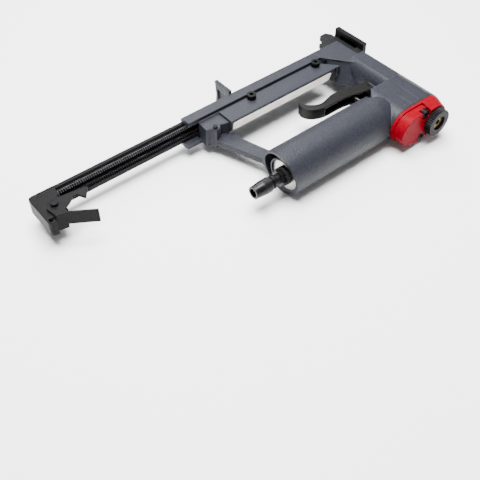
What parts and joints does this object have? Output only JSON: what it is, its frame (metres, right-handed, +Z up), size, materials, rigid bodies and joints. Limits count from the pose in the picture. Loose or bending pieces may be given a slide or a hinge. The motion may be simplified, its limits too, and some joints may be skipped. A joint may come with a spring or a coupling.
{
  "type": "pneumatic pin nailer",
  "caption": "Hand held air driven fastener gun with a round grip, finger trigger, red cap, long bottom magazine drawn open, latch and air plug.",
  "frame": {"origin": "nose tip on the drive line, where the fastener leaves", "axes": "+X forward along the magazine, away from the air plug; +Y out of the nose; +Z up while the tool lies on its side"},
  "size_m": [0.3246, 0.148, 0.0392],
  "materials": {
    "body_paint": "grey hammertone paint",
    "red_paint": "gloss red paint",
    "black_steel": "black oxide",
    "dark_paint": "black satin paint",
    "steel": "bare steel",
    "spring_steel": "spring steel",
    "bright_metal": "polished",
    "aluminium": "machined",
    "brass": "turned",
    "rubber": "matte",
    "label": "bare label film",
    "black_plastic": "matte"
  },
  "bodies": {
    "tool_body": {"body_casting": "body_paint", "magazine_housing": "body_paint", "magazine_screws": "black_steel", "catch_pin": "black_steel", "label_plate": "label", "driver_guide": "steel", "nose_cover": "dark_paint", "nose_screws": "black_steel", "cylinder_sleeve": "aluminium", "bumper": "rubber", "cap": "red_paint", "cap_gasket": "rubber", "cap_screws": "black_steel", "knob_bush": "brass", "trigger_pin": "black_steel", "valve_bushing": "black_steel", "inlet_disc": "bright_metal", "inlet_seal": "rubber", "inlet_ring": "steel", "plug_washer": "rubber", "air_plug": "black_steel"},
    "magazine_slide": {"slide_rail": "dark_paint", "spring_rods": "black_steel", "end_cap": "dark_paint", "latch_pivot_pin": "dark_paint", "pusher_spring_upper": "spring_steel", "pusher_spring_lower": "spring_steel"},
    "pusher": {"pusher": "dark_paint"},
    "latch_lever": {"latch_lever": "dark_paint"},
    "trigger": {"trigger": "dark_paint"},
    "valve_stem": {"valve_stem": "steel"},
    "piston": {"piston": "aluminium", "piston_ring": "rubber", "driver_blade": "steel"},
    "head_valve": {"head_valve": "aluminium"},
    "exhaust_knob": {"exhaust_knob": "black_plastic"}
  },
  "joints": [
    {"name": "slide_travel", "type": "slide", "parent": "tool_body", "child": "magazine_slide", "axis": [1, 0, 0], "range_m": [0, 0.1262]},
    {"name": "pusher_travel", "type": "slide", "parent": "magazine_slide", "child": "pusher", "axis": [1, 0, 0], "range_m": [-0.1, 0], "stiffness_N_per_m": 15, "springref_m": 0.08, "deforming": ["pusher_spring_upper", "pusher_spring_lower"]},
    {"name": "latch_turn", "type": "hinge", "parent": "magazine_slide", "child": "latch_lever", "pos_m": [-0.3, -0.0385, 0], "axis": [0, 0, 1], "range_deg": [0, 12], "stiffness_Nm_per_rad": 0.3, "springref_deg": -11.46},
    {"name": "trigger_pull", "type": "hinge", "parent": "tool_body", "child": "trigger", "pos_m": [-0.0198, -0.08, 0], "axis": [0, 0, 1], "range_deg": [0, 8], "stiffness_Nm_per_rad": 0.6, "springref_deg": -8.59},
    {"name": "stem_press", "type": "slide", "parent": "tool_body", "child": "valve_stem", "axis": [0, -1, 0], "range_m": [0, 0.00245]},
    {"name": "drive_stroke", "type": "slide", "parent": "tool_body", "child": "piston", "axis": [0, 1, 0], "range_m": [0, 0.032]},
    {"name": "head_valve_lift", "type": "slide", "parent": "tool_body", "child": "head_valve", "axis": [0, -1, 0], "range_m": [0, 0.0025], "stiffness_N_per_m": 400, "springref_m": -0.002},
    {"name": "knob_turn", "type": "hinge", "parent": "tool_body", "child": "exhaust_knob", "pos_m": [-0.0075, -0.145, 0], "axis": [0, 1, 0], "continuous": true}
  ],
  "couplings": [
    {"joint": "stem_press", "follows": "trigger_pull", "m_per_rad": 0.0172}
  ]
}
